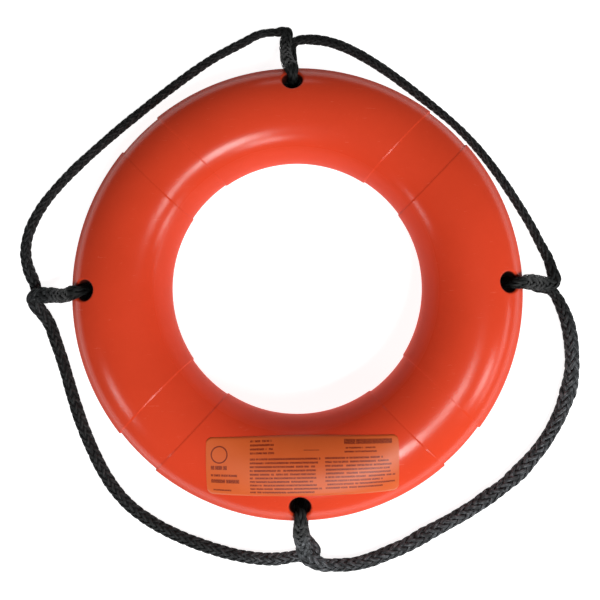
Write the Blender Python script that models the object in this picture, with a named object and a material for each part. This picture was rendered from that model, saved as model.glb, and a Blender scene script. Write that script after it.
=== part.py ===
"""A 20 inch hard-shell life ring with a threaded grab line, lying on its back.

Metres, +Z up. The ring's axis is the Z axis and it lies on z = 0. The label is towards -Y.
"""

import math

import bmesh
import bpy
from mathutils import Matrix, Vector

# Ring
OUTER_DIAMETER = 0.508
INNER_DIAMETER = 0.286
RING_HEIGHT = 0.088
REST_FLAT = 0.016  # width of the flat underside that the ring lies on
SHELL_WALL = 0.003
FIT_GAP = 0.0003  # between pieces that touch

# Recesses for reflective tape, midway between the rope holes
RECESS_WIDTH = 0.055
RECESS_DEPTH = 0.0022

# Rope holes
HOLE_INSET = 0.026  # from the rim to a hole's axis
HOLE_DIAMETER = 0.022
MOUTH_ROUNDING = 0.0025

# Ports on the back, with their plugs
FILL_PORT_DIAMETER = 0.018
VENT_PORT_DIAMETER = 0.010
PORT_TILT = math.radians(-125)  # place on the tube's section, from straight out
FILL_PORT_AZIMUTH = math.radians(22.5)
PLUG_LENGTH = 0.008
PLUG_SINK = 0.0009  # the plug's face below the shell's surface
PLUG_CHAMFER = 0.0005

# Label
LABEL_LENGTH = 0.199
LABEL_INSET = 0.0125  # from the tube's inner side to the label's nearest edge
LABEL_SHIFT = 0.0034  # from under the ring's centre
LABEL_CORNER = 0.006
LABEL_FILM = 0.0003
LABEL_GAP = 0.0007  # clears the shell's facets
LABEL_TO_MOUTH = 0.0006

# Grab line
LINE_DIAMETER = 0.0105
RELAXED_LINE_DIAMETER = 0.0145
SPLICED_LINE_DIAMETER = 0.0165  # where the line's tail is buried in it
LINE_GAP = 0.0006  # between the line and what it lies on, over the facets
LINE_POINT_SPACING = 0.022
LOOP_POINT_SPACING = 0.009
TUCK_DIAMETER = 0.021
TUCK_HEIGHT = 0.0115
FRONT_LEG_RISE = math.radians(40)
BACK_LEG_FALL = math.radians(14)
FRONT_LEG_SIDE = math.radians(4)
BACK_LEG_SIDE = math.radians(32)
STRAIGHT_END = 0.008  # a leg leaves its tuck straight for this long
REST_RUN = 0.045  # how far from a tuck the line reaches the floor
RIM_SLACK = 0.0012  # how much looser than LINE_GAP a loop crosses the rim

# A loop's way round the tube's section, as turns up from straight out. On the front each turn
# has the share of the leg's sideways place that is left there.
FRONT_RIM_TURNS = ((math.radians(24), 0.4), (math.radians(38), 0.15))
FRONT_LIP_TURNS = (math.radians(125), math.radians(180))
BACK_LIP_TURNS = (math.radians(180), math.radians(130))
BACK_RIM_SHARE = 0.5

# How finely the solids are faceted
SECTION_STEPS = 22
PLAIN_STEPS = 12
RECESS_STEPS = 4
INNER_SECTION_STEPS = 16
INNER_PLAIN_STEPS = 8
INNER_RECESS_STEPS = 2
HOLE_SIDES = 24
MOUTH_STEPS = 3
MOUTH_OVERRUN = math.radians(15)  # how far a mouth's rounding stops short of the tube's surface
PLUG_SIDES = 20
LABEL_COLUMNS = 24
LABEL_ROWS = 8
CORNER_COLUMNS = 3
LINE_BEVEL_STEPS = 3
TUCK_SUBDIVISIONS = 3
CURVE_STEPS = 24  # between two points of a route, before it is evenly spaced
CREASE_ANGLE = math.radians(35)

# Worked out from the above
TUBE_WIDTH = (OUTER_DIAMETER - INNER_DIAMETER) / 2
TUBE_RADIUS = TUBE_WIDTH / 2
MID_RADIUS = (OUTER_DIAMETER + INNER_DIAMETER) / 4
TUBE_SEMI_HEIGHT = RING_HEIGHT / (1 + math.sqrt(1 - (REST_FLAT / TUBE_WIDTH) ** 2))
MID_HEIGHT = RING_HEIGHT - TUBE_SEMI_HEIGHT
RIM_RADIUS = OUTER_DIAMETER / 2
HOLE_CIRCLE_RADIUS = RIM_RADIUS - HOLE_INSET
HOLE_FACET_TURN = math.pi / HOLE_SIDES  # so that no corner of a hole is on the ring's own columns
QUARTER = math.pi / 2

# The ports, each with its azimuth and diameter, named after its plug
PORTS = {
    "fill_plug": (FILL_PORT_AZIMUTH, FILL_PORT_DIAMETER),
    "vent_plug": (FILL_PORT_AZIMUTH + math.pi, VENT_PORT_DIAMETER),
}

# The four sides of the ring, with their azimuths. Each has a rope hole and a tuck.
# A tuck lies outside the rim and a little to the side, clockwise from above.
SIDES = {
    "top": {"azimuth": QUARTER, "outside": 0.057, "sideways": -0.002},
    "right": {"azimuth": 0.0, "outside": 0.050, "sideways": 0.001},
    "bottom": {"azimuth": -QUARTER, "outside": 0.052, "sideways": -0.007},
    "left": {"azimuth": 2 * QUARTER, "outside": 0.058, "sideways": -0.005},
}

# The bights, each from one tuck clockwise to the next. A route's points, chosen by eye, are the
# azimuth in degrees and the distance outside the rim in millimetres.
BIGHTS = {
    "upper_right": {
        "from": "top",
        "to": "right",
        "diameter": LINE_DIAMETER,
        "route": [
            (83, 57.5), (76.5, 51.5), (70, 42), (63, 33.5), (55, 27.5), (45, 25.5),
            (35, 26), (26, 29), (18, 34.5), (11, 42), (6, 49),
        ],
    },
    "lower_right": {
        "from": "right",
        "to": "bottom",
        "diameter": SPLICED_LINE_DIAMETER,
        "route": [
            (-5.5, 63), (-9, 72.5), (-13.5, 80), (-20, 88.5), (-26.5, 90), (-33, 88.5), (-40, 84.5),
            (-48, 78), (-56, 71.5), (-64, 69.5), (-72, 71), (-78.5, 73), (-83.5, 70.5), (-86, 63),
        ],
    },
    "lower_left": {
        "from": "bottom",
        "to": "left",
        "diameter": RELAXED_LINE_DIAMETER,
        "route": [
            (-95, 60), (-101, 64), (-108, 65.5), (-116, 67), (-124, 69), (-132, 67.5), (-140, 60),
            (-148, 52), (-156, 45), (-163, 42.5), (-169, 46), (-174.5, 53.5),
        ],
    },
    "upper_left": {
        "from": "left",
        "to": "top",
        "diameter": LINE_DIAMETER,
        "route": [
            (176.5, 71), (173.5, 79.5), (170, 83.5), (165.5, 82), (159, 73), (152, 60.5), (144, 49.5),
            (135, 41.5), (127, 40), (119, 43), (111, 50.5), (104.5, 58), (99.5, 67), (96, 68),
        ],
    },
}


def clear_scene():
    """Removes whatever objects the file starts with."""
    for obj in list(bpy.data.objects):
        bpy.data.objects.remove(obj)


def material(name, colour, roughness, metallic=0.0):
    """A plain Principled material, with its colour in linear light."""
    made = bpy.data.materials.new(name)
    made.use_nodes = True
    shader = made.node_tree.nodes["Principled BSDF"]
    shader.inputs["Base Color"].default_value = (*colour, 1.0)
    shader.inputs["Roughness"].default_value = roughness
    shader.inputs["Metallic"].default_value = metallic
    made.diffuse_color = (*colour, 1.0)
    return made


def orange_polyethylene():
    return material("orange polyethylene", (0.60, 0.045, 0.018), 0.32)


def cream_foam():
    return material("cream foam", (0.72, 0.60, 0.36), 0.9)


def orange_plug_plastic():
    return material("orange plug plastic", (0.50, 0.04, 0.018), 0.4)


def printed_film():
    return material("printed film", (0.68, 0.17, 0.05), 0.45)


def black_braid():
    return material("black braid", (0.014, 0.015, 0.014), 0.7)


def add_object(name, data, finish=None):
    """Links an object that holds this mesh or curve."""
    obj = bpy.data.objects.new(name, data)
    if finish:
        data.materials.append(finish)
    bpy.context.scene.collection.objects.link(obj)
    return obj


def mesh_from(name, shape, smooth=True):
    """Turns a bmesh into a mesh whose faces point out."""
    bmesh.ops.recalc_face_normals(shape, faces=shape.faces[:])
    mesh = bpy.data.meshes.new(name)
    shape.to_mesh(mesh)
    shape.free()
    if smooth:
        mesh.shade_smooth()
        mesh.set_sharp_from_angle(angle=CREASE_ANGLE)
    return mesh


def hide_cutter(obj):
    """Marks an object as a tool for the Boolean modifiers only."""
    obj.hide_render = True
    obj.display_type = "WIRE"
    return obj


def cut(target, cutter):
    """Takes the cutter away from the target."""
    modifier = target.modifiers.new(f"minus {cutter.name}", "BOOLEAN")
    modifier.operation = "DIFFERENCE"
    modifier.solver = "EXACT"
    modifier.object = cutter


def polar(radius, azimuth, height):
    """A world point from its radius, azimuth and height."""
    return Vector((radius * math.cos(azimuth), radius * math.sin(azimuth), height))


def half_thickness(radius, offset=0.0):
    """Height of the tube's surface over the middle, at this radius from the ring's axis."""
    along = (radius - MID_RADIUS) / (TUBE_RADIUS + offset)
    return (TUBE_SEMI_HEIGHT + offset) * math.sqrt(1 - along * along)


def section(offset, steps):
    """The tube's outline moved out by offset, as (radius, height) points.

    It runs from the outer edge of the flat over the top to the flat's inner edge.
    """
    width, height = TUBE_RADIUS + offset, TUBE_SEMI_HEIGHT + offset
    start = -math.asin((MID_HEIGHT + offset) / height)
    angles = (start + (math.pi - 2 * start) * i / steps for i in range(steps + 1))
    return [(MID_RADIUS + width * math.cos(a), MID_HEIGHT + height * math.sin(a)) for a in angles]


def ring_columns(offset, section_steps, plain_steps, recess_steps):
    """Columns of points all round the ring, deeper where a recess is.

    A recess's edges are parallel planes, so its share of the turn grows towards the ring's axis.
    """
    half_recess = RECESS_WIDTH / 2 - offset
    plain = section(offset, section_steps)
    sunk = section(offset - RECESS_DEPTH, section_steps)
    columns = []
    for side in range(len(SIDES)):
        hole, recess = side * QUARTER, (side + 0.5) * QUARTER
        for i in range(plain_steps + 1):
            share = 2 * i / plain_steps - 1
            columns.append([
                polar(r, hole + share * (QUARTER / 2 - math.asin(half_recess / r)), z)
                for r, z in plain
            ])
        for i in range(recess_steps + 1):
            share = 2 * i / recess_steps - 1
            columns.append([
                polar(r, recess + share * math.asin(half_recess / r), z) for r, z in sunk
            ])
    return columns


def ring_mesh(name, offset, section_steps, plain_steps, recess_steps):
    """A closed ring whose surface is moved out from the shell's outside by offset."""
    shape = bmesh.new()
    columns = [
        [shape.verts.new(p) for p in column]
        for column in ring_columns(offset, section_steps, plain_steps, recess_steps)
    ]
    for one, other in zip(columns, columns[1:] + columns[:1]):
        for k in range(len(one)):
            shape.faces.new((one[k - 1], one[k], other[k], other[k - 1]))
    return mesh_from(name, shape)


def inner_ring_mesh(name, offset):
    """A ring inside the shell, with coarser facets."""
    return ring_mesh(name, offset, INNER_SECTION_STEPS, INNER_PLAIN_STEPS, INNER_RECESS_STEPS)


def mouth_profile(azimuth, turn):
    """Half of a rope hole's wall at one turn round its axis, from the middle up and out.

    The mouth's edge is rounded against the sloping surface of the tube.
    """
    wall = HOLE_DIAMETER / 2
    centre = wall + MOUTH_ROUNDING
    axis = polar(HOLE_CIRCLE_RADIUS, azimuth, 0)
    heights = [
        half_thickness((axis + polar(reach, turn, 0)).length) for reach in (wall, centre)
    ]
    slope = (heights[1] - heights[0]) / MOUTH_ROUNDING
    rise = heights[1] - MOUTH_ROUNDING * math.sqrt(1 + slope * slope)
    last = QUARTER + math.atan(slope) + MOUTH_OVERRUN
    profile = []
    for i in range(MOUTH_STEPS + 1):
        angle = math.pi + (last - math.pi) * i / MOUTH_STEPS
        profile.append((
            centre + MOUTH_ROUNDING * math.cos(angle),
            rise + MOUTH_ROUNDING * math.sin(angle),
        ))
    out = MOUTH_ROUNDING
    profile.append((profile[-1][0] + out, profile[-1][1] + out * math.tan(last - QUARTER)))
    profile.append((profile[-1][0], RING_HEIGHT))
    return profile


def hole_cutters():
    """The four rope holes with their rounded mouths, as one cutter."""
    shape = bmesh.new()
    for side in SIDES.values():
        axis = polar(HOLE_CIRCLE_RADIUS, side["azimuth"], MID_HEIGHT)
        columns = []
        for i in range(HOLE_SIDES):
            turn = side["azimuth"] + 2 * math.pi * i / HOLE_SIDES + HOLE_FACET_TURN
            half = mouth_profile(side["azimuth"], turn)
            whole = [(reach, -up) for reach, up in reversed(half)] + half
            columns.append([
                shape.verts.new(axis + polar(reach, turn, up)) for reach, up in whole
            ])
        for one, other in zip(columns, columns[1:] + columns[:1]):
            for k in range(len(one) - 1):
                shape.faces.new((one[k], other[k], other[k + 1], one[k + 1]))
        shape.faces.new([column[-1] for column in columns])
        shape.faces.new([column[0] for column in reversed(columns)])
    return hide_cutter(add_object("hole cutters", mesh_from("hole cutters", shape, smooth=False)))


def hole_posts(name, radius):
    """Four upright posts round the rope holes."""
    shape = bmesh.new()
    for side in SIDES.values():
        bmesh.ops.create_cone(
            shape,
            cap_ends=True,
            segments=HOLE_SIDES,
            radius1=radius,
            radius2=radius,
            depth=2 * RING_HEIGHT,
            matrix=Matrix.Translation(polar(HOLE_CIRCLE_RADIUS, side["azimuth"], MID_HEIGHT))
            @ Matrix.Rotation(side["azimuth"] + HOLE_FACET_TURN, 4, "Z"),
        )
    return hide_cutter(add_object(name, mesh_from(name, shape, smooth=False)))


def port_frame(azimuth):
    """A frame on the shell's surface at a port, with +Z out of the shell."""
    place = polar(
        MID_RADIUS + TUBE_RADIUS * math.cos(PORT_TILT),
        azimuth,
        MID_HEIGHT + TUBE_SEMI_HEIGHT * math.sin(PORT_TILT),
    )
    outward = polar(
        math.cos(PORT_TILT) / TUBE_RADIUS, azimuth, math.sin(PORT_TILT) / TUBE_SEMI_HEIGHT
    )
    return Matrix.Translation(place) @ outward.to_track_quat("Z", "Y").to_matrix().to_4x4()


def port_post(shape, azimuth, radius, top, bottom):
    """Adds a round post on a port's axis, between two heights over the shell's surface."""
    bmesh.ops.create_cone(
        shape,
        cap_ends=True,
        segments=PLUG_SIDES,
        radius1=radius,
        radius2=radius,
        depth=top - bottom,
        matrix=port_frame(azimuth) @ Matrix.Translation((0, 0, (top + bottom) / 2)),
    )


def port_cutters(name, widening, depth):
    """Both ports, cut from outside down to a depth."""
    shape = bmesh.new()
    for azimuth, diameter in PORTS.values():
        port_post(shape, azimuth, diameter / 2 + widening, 2 * SHELL_WALL, -depth)
    return hide_cutter(add_object(name, mesh_from(name, shape, smooth=False)))


def build_shell(finish):
    """The seamless moulded skin: hollow, with a tunnel at each rope hole and two ports."""
    mesh = ring_mesh("shell", 0.0, SECTION_STEPS, PLAIN_STEPS, RECESS_STEPS)
    shell = add_object("shell", mesh, finish)
    cavity = hide_cutter(add_object("cavity", inner_ring_mesh("cavity", -SHELL_WALL)))
    cut(cavity, hole_posts("tunnel walls", HOLE_DIAMETER / 2 + SHELL_WALL))
    cut(shell, cavity)
    cut(shell, hole_cutters())
    cut(shell, port_cutters("ports", 0.0, PLUG_LENGTH))
    return shell


def build_foam_core(finish):
    """The foam filling, round the tunnels and behind the plugs."""
    offset = -SHELL_WALL - FIT_GAP
    core = add_object("foam_core", inner_ring_mesh("foam_core", offset), finish)
    cut(core, hole_posts("tunnel room", HOLE_DIAMETER / 2 + SHELL_WALL + FIT_GAP))
    cut(core, port_cutters("plug pockets", FIT_GAP, PLUG_LENGTH + FIT_GAP))
    return core


def build_plug(name, azimuth, diameter, finish):
    """A push-in plug that fills its port, its face just below the surface."""
    shape = bmesh.new()
    port_post(shape, azimuth, diameter / 2 - FIT_GAP, -PLUG_SINK, -PLUG_LENGTH)
    outward = port_frame(azimuth).to_3x3().col[2]
    shape.faces.ensure_lookup_table()
    shape.normal_update()
    face = max(shape.faces, key=lambda f: f.normal.dot(outward) * len(f.verts))
    bmesh.ops.bevel(
        shape, geom=face.edges[:], offset=PLUG_CHAMFER, segments=1, affect="EDGES"
    )
    return add_object(name, mesh_from(name, shape), finish)


def label_columns():
    """Columns of the label's flat outline: a place along it, and the inset of its rounded corner."""
    half, corner = LABEL_LENGTH / 2, LABEL_CORNER
    left = []
    for i in range(CORNER_COLUMNS):
        angle = QUARTER * i / CORNER_COLUMNS
        left.append((-half + corner * (1 - math.cos(angle)), corner * (1 - math.sin(angle))))
    straight = LABEL_LENGTH - 2 * corner
    middle = [
        (-straight / 2 + straight * i / LABEL_COLUMNS, 0.0) for i in range(LABEL_COLUMNS + 1)
    ]
    return left + middle + [(-x, inset) for x, inset in reversed(left)]


def build_label(finish):
    """The film on the front, bent to the tube and ending at the lower rope hole's mouth."""
    mouth = HOLE_DIAMETER / 2 + MOUTH_ROUNDING + LABEL_TO_MOUTH
    outer_edge = HOLE_CIRCLE_RADIUS - mouth
    inner_edge = INNER_DIAMETER / 2 + LABEL_INSET
    shape = bmesh.new()
    layers = []
    for offset in (LABEL_GAP, LABEL_GAP + LABEL_FILM):
        columns = []
        for along, inset in label_columns():
            column = []
            for row in range(LABEL_ROWS + 1):
                share = row / LABEL_ROWS
                inner, outer = inner_edge + inset, outer_edge - inset
                place = Vector((along + LABEL_SHIFT, -(inner + (outer - inner) * share), 0))
                place.z = MID_HEIGHT + half_thickness(place.length, offset)
                column.append(shape.verts.new(place))
            columns.append(column)
        layers.append(columns)
    low, high = layers
    for one in range(len(low) - 1):
        other = one + 1
        for row in range(LABEL_ROWS):
            for layer in layers:
                shape.faces.new((
                    layer[one][row], layer[other][row], layer[other][row + 1], layer[one][row + 1]
                ))
        for row in (0, LABEL_ROWS):
            shape.faces.new((low[one][row], high[one][row], high[other][row], low[other][row]))
    for column in (0, len(low) - 1):
        for row in range(LABEL_ROWS):
            shape.faces.new((
                low[column][row], high[column][row], high[column][row + 1], low[column][row + 1]
            ))
    return add_object("label", mesh_from("label", shape), finish)


def smooth_through(points, spacing):
    """Points at an even spacing on a smooth curve through the given ones."""
    ends = [points[0] * 2 - points[1]] + points + [points[-1] * 2 - points[-2]]
    fine = []
    for before, start, end, after in zip(ends, ends[1:], ends[2:], ends[3:]):
        near, here, far = start - before, end - start, after - end
        a, b, c = (math.sqrt(step.length) for step in (near, here, far))
        into = b * (near / a - (near + here) / (a + b) + here / b)
        out = b * (here / b - (here + far) / (b + c) + far / c)
        for i in range(CURVE_STEPS):
            t = i / CURVE_STEPS
            fine.append(
                start * (2 * t**3 - 3 * t**2 + 1)
                + into * (t**3 - 2 * t**2 + t)
                + end * (3 * t**2 - 2 * t**3)
                + out * (t**3 - t**2)
            )
    fine.append(points[-1])
    lengths = [0.0]
    for a, b in zip(fine, fine[1:]):
        lengths.append(lengths[-1] + (b - a).length)
    count = max(2, round(lengths[-1] / spacing))
    even, at = [], 0
    for i in range(count + 1):
        wanted = lengths[-1] * i / count
        while at < len(lengths) - 2 and lengths[at + 1] < wanted:
            at += 1
        share = (wanted - lengths[at]) / (lengths[at + 1] - lengths[at])
        even.append(fine[at].lerp(fine[at + 1], min(share, 1.0)))
    return even


def line_tube(name, points, diameter, origin, finish):
    """A stretch of the line as a round tube with closed ends."""
    curve = bpy.data.curves.new(name, "CURVE")
    curve.dimensions = "3D"
    curve.bevel_depth = diameter / 2
    curve.bevel_resolution = LINE_BEVEL_STEPS
    curve.use_fill_caps = True
    spline = curve.splines.new("POLY")
    spline.points.add(len(points) - 1)
    for place, point in zip(points, spline.points):
        point.co = (*(place - origin), 1.0)
    spline.use_smooth = True
    obj = add_object(name, curve, finish)
    obj.location = origin
    return obj


def side_point(side, radius, sideways, height):
    """A world point by a hole: its radius, its place clockwise of the hole, and its height."""
    out = polar(1.0, side["azimuth"], 0.0)
    clockwise = Vector((out.y, -out.x, 0))
    return out * radius + clockwise * sideways + Vector((0, 0, height))


def tuck_centre(side):
    return side_point(side, RIM_RADIUS + side["outside"], side["sideways"], TUCK_HEIGHT)


def leg_end(side, turn, rise):
    """The straight start of a leg at its tuck, at an angle to the side and up from straight in."""
    return [
        side_point(
            side,
            RIM_RADIUS + side["outside"] - away * math.cos(rise) * math.cos(turn),
            side["sideways"] + away * math.cos(rise) * math.sin(turn),
            TUCK_HEIGHT + away * math.sin(rise),
        )
        for away in (TUCK_DIAMETER / 2 + FIT_GAP, TUCK_DIAMETER / 2 + FIT_GAP + STRAIGHT_END)
    ]


def loop_route(side):
    """Round the rim: from the tuck over the front, down through the hole and back underneath."""
    room = LINE_DIAMETER / 2 + LINE_GAP
    lip = HOLE_CIRCLE_RADIUS + HOLE_DIAMETER / 2
    lip_rise = half_thickness(lip) - MOUTH_ROUNDING
    over = room + RIM_SLACK

    front = leg_end(side, FRONT_LEG_SIDE, FRONT_LEG_RISE)
    front_side = side["sideways"] + LINE_DIAMETER * math.sin(FRONT_LEG_SIDE)
    for turn, share in FRONT_RIM_TURNS:
        radius = MID_RADIUS + (TUBE_RADIUS + over) * math.cos(turn)
        height = MID_HEIGHT + (TUBE_SEMI_HEIGHT + over) * math.sin(turn)
        front.append(side_point(side, radius, front_side * share, height))
    for turn in FRONT_LIP_TURNS:
        height = MID_HEIGHT + lip_rise + over * math.sin(turn)
        front.append(side_point(side, lip + over * math.cos(turn), 0.0, height))
    back = [side_point(side, HOLE_CIRCLE_RADIUS, 0.0, MID_HEIGHT)]
    for turn in BACK_LIP_TURNS:
        height = MID_HEIGHT - lip_rise - over * math.sin(turn)
        back.append(side_point(side, lip + over * math.cos(turn), 0.0, max(room, height)))
    back_side = side["sideways"] + LINE_DIAMETER * math.sin(BACK_LEG_SIDE)
    back.append(side_point(side, RIM_RADIUS, back_side * BACK_RIM_SHARE, room))
    back += reversed(leg_end(side, BACK_LEG_SIDE, -BACK_LEG_FALL))
    return smooth_through(front + back, LOOP_POINT_SPACING)


def bight_route(bight):
    """Along the floor from one tuck to the next, rising to each."""
    start, end = tuck_centre(SIDES[bight["from"]]), tuck_centre(SIDES[bight["to"]])
    low = bight["diameter"] / 2 + FIT_GAP
    points = []
    for degrees, outside in bight["route"]:
        place = polar(RIM_RADIUS + outside / 1000, math.radians(degrees), low)
        near = min((place - start).length, (place - end).length)
        climb = max(0.0, 1 - near / REST_RUN)
        place.z = low + (TUCK_HEIGHT - low) * climb * climb
        points.append(place)
    away = TUCK_DIAMETER / 2 + FIT_GAP
    first = start + (points[0] - start).normalized() * away
    last = end + (points[-1] - end).normalized() * away
    return smooth_through([first] + points + [last], LINE_POINT_SPACING)


def build_tuck(name, side, finish):
    """The lump where the line turns and passes its own lay; the bights swing about its centre."""
    shape = bmesh.new()
    bmesh.ops.create_icosphere(shape, subdivisions=TUCK_SUBDIVISIONS, radius=TUCK_DIAMETER / 2)
    obj = add_object(name, mesh_from(name, shape), finish)
    obj.location = tuck_centre(side)
    return obj


def build_grab_line(finish):
    """The one rope: its loops and tucks by each hole, and its bights between them."""
    for name, side in SIDES.items():
        line_tube(
            f"line_loop_{name}", loop_route(side), LINE_DIAMETER, tuck_centre(side), finish
        )
        build_tuck(f"line_tuck_{name}", side, finish)
    for name, bight in BIGHTS.items():
        hinge = tuck_centre(SIDES[bight["from"]])
        line_tube(f"line_bight_{name}", bight_route(bight), bight["diameter"], hinge, finish)


clear_scene()
build_shell(orange_polyethylene())
build_foam_core(cream_foam())
plug_plastic = orange_plug_plastic()
for plug, (azimuth, diameter) in PORTS.items():
    build_plug(plug, azimuth, diameter, plug_plastic)
build_label(printed_film())
build_grab_line(black_braid())
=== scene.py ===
import math

import bmesh
import bpy
import numpy as np
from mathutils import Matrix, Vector


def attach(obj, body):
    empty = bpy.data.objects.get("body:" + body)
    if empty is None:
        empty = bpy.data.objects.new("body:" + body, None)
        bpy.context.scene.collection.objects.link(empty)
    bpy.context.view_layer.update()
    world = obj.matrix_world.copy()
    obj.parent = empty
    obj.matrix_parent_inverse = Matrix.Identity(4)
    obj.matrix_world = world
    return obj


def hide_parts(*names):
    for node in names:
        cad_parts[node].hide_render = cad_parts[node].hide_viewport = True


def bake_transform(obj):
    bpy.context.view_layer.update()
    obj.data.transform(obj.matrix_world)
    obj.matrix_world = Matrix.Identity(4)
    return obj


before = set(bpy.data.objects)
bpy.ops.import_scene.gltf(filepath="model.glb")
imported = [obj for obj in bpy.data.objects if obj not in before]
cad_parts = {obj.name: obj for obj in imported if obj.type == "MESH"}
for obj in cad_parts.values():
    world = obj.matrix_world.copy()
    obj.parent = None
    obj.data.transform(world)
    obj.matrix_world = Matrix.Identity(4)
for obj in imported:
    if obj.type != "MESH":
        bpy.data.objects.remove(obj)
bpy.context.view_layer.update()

# The ring, as in the solids (metres), with shallower recesses
OUTER_DIAMETER = 0.508
INNER_DIAMETER = 0.286
RING_HEIGHT = 0.088
REST_FLAT = 0.016
RECESS_WIDTH = 0.055
RECESS_DEPTH = 0.0022
RECESS_INNER_DEPTH = 0.0013
RECESS_CROWN_DEPTH = 0.0005
RECESS_CROWN = 95  # degrees round the section from straight out to a recess's shallowest place
RECESS_EASE = 45  # degrees each way that stay as shallow, and as many again to the full depth
HOLE_INSET = 0.026
HOLE_DIAMETER = 0.022
MOUTH_ROUNDING = 0.0025

TUBE_WIDTH = (OUTER_DIAMETER - INNER_DIAMETER) / 2
TUBE_RADIUS = TUBE_WIDTH / 2
MID_RADIUS = (OUTER_DIAMETER + INNER_DIAMETER) / 4
TUBE_SEMI_HEIGHT = RING_HEIGHT / (1 + math.sqrt(1 - (REST_FLAT / TUBE_WIDTH) ** 2))
MID_HEIGHT = RING_HEIGHT - TUBE_SEMI_HEIGHT
FLAT_ANGLE = -math.asin(MID_HEIGHT / TUBE_SEMI_HEIGHT)  # of the flat's outer edge
RIM_RADIUS = OUTER_DIAMETER / 2
HOLE_CIRCLE_RADIUS = RIM_RADIUS - HOLE_INSET
MOUTH_CENTRE = HOLE_DIAMETER / 2 + MOUTH_ROUNDING  # from a hole's axis to its rounding's centre
FULL_TURN = 2 * math.pi
QUARTER = math.pi / 2

# The ports on the back, with their plugs. A port's window in the grid is its columns from the
# middle of its side, and half its columns and rows.
PORT_TILT = math.radians(-125)
PORT_DEPTH = 0.006
PORT_REACH = 0.02  # how far from a port's frame the skin is looked for, by halvings
HALVINGS = 40
PORT_EDGE = ((0.0006, 0.0), (0.00032, 0.00006), (0.0001, 0.00022), (0.0, 0.0005))  # out, down
PORT_SHARES = (0.35, 0.65, 0.88)
FIT_GAP = 0.0003
PORTS = {
    "fill_plug": {"azimuth": math.radians(22.5), "radius": 0.009, "side": 0, "window": (31, 8, 6)},
    "vent_plug": {"azimuth": math.radians(202.5), "radius": 0.005, "side": 2, "window": (31, 6, 4)},
}
PLUG_SINK = 0.0009
PLUG_SIDES = 48
# A plug's section from its middle, as shares of its radius and depths under its rim
PLUG_SECTION = (
    (0.0, 0.00022), (0.10, 0.00022), (0.13, 0.0005), (0.45, 0.0006), (0.66, 0.00045),
    (0.74, 0.0001), (0.82, 0.0), (0.91, 0.00003), (0.965, 0.0002), (0.992, 0.0005),
    (1.0, 0.0010), (1.0, 0.0046), (0.0, 0.0046),
)

# The label
LABEL_LENGTH = 0.199
LABEL_EDGES = (0.1545, 0.2139)  # its inner and outer edge, from the ring's axis
LABEL_BOW = (0.0027, 0.0010)  # how far the middle of its inner and outer edge sits further out
LABEL_SHIFT = 0.0034
LABEL_CORNER = 0.006
LABEL_LIFT = 0.00012
LABEL_FILM = 0.00016
LABEL_EDGE_DROP = 0.0001  # how much thinner the film is along its edge
LABEL_ROWS = 26
LABEL_COLUMNS = 90  # between the rounded corners
CORNER_COLUMNS = 8
# Its generic bars, rule and ring, in metres from its middle. Each block of bars has its left and
# right, its bottom and top, how many bars it has, how much of its pitch a bar fills, how ragged
# the bars' ends are, and a seed.
PRINT_BARS = (
    (-0.0543, 0.0198, -0.0275, 0.0100, 10, 0.50, 0.010, 3.0),
    (0.0233, 0.0955, -0.0235, 0.0103, 9, 0.50, 0.016, 17.0),
    (-0.0543, -0.0254, 0.0120, 0.0270, 4, 0.50, 0.008, 29.0),
    (0.0437, 0.0930, 0.0200, 0.0276, 1, 0.62, 0.001, 41.0),
    (0.0437, 0.0790, 0.0125, 0.0197, 2, 0.44, 0.006, 47.0),
    (-0.0945, -0.0775, -0.0036, 0.0030, 1, 0.60, 0.001, 53.0),
    (-0.0945, -0.0670, -0.0108, -0.0056, 1, 0.44, 0.001, 59.0),
    (-0.0945, -0.0650, -0.0178, -0.0108, 1, 0.56, 0.001, 61.0),
    (-0.0930, -0.0735, -0.0262, -0.0222, 1, 0.44, 0.001, 67.0),
)
PRINT_RULE = (0.0014, 0.0176, 0.0158, 0.0164)
PRINT_RING = (-0.0858, 0.0127, 0.0074, 0.0087)  # its middle, and its inner and outer radius
PRINT_SOFTNESS = 0.00022
BAR_SOFTNESS = 0.08  # as a share of a bar's pitch

# How finely the ring is drawn
HALF_ROWS = 48  # up the outer side, and as many down the inner side
CROWN_ROWS = 5
FLAT_ROWS = 5
PLAIN_COLUMNS = 96
RECESS_COLUMNS = 14
EDGE_STEPS = (0.0014, 0.0009, 0.0006, 0.0003, 0.0, -0.0003, -0.0006, -0.0009, -0.0014)
EDGE_SOFTNESS = 0.0009
HOLE_WINDOW = (7, 32, 47)  # half its columns, and its first and last row
PATCH_SHARES = (0.2, 0.38, 0.54, 0.68, 0.79, 0.88, 0.95)
MOUTH_STEPS = 7
BORE_SHARES = (0.75, 0.5, 0.25)
LIP_SAMPLES = 400

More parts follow.
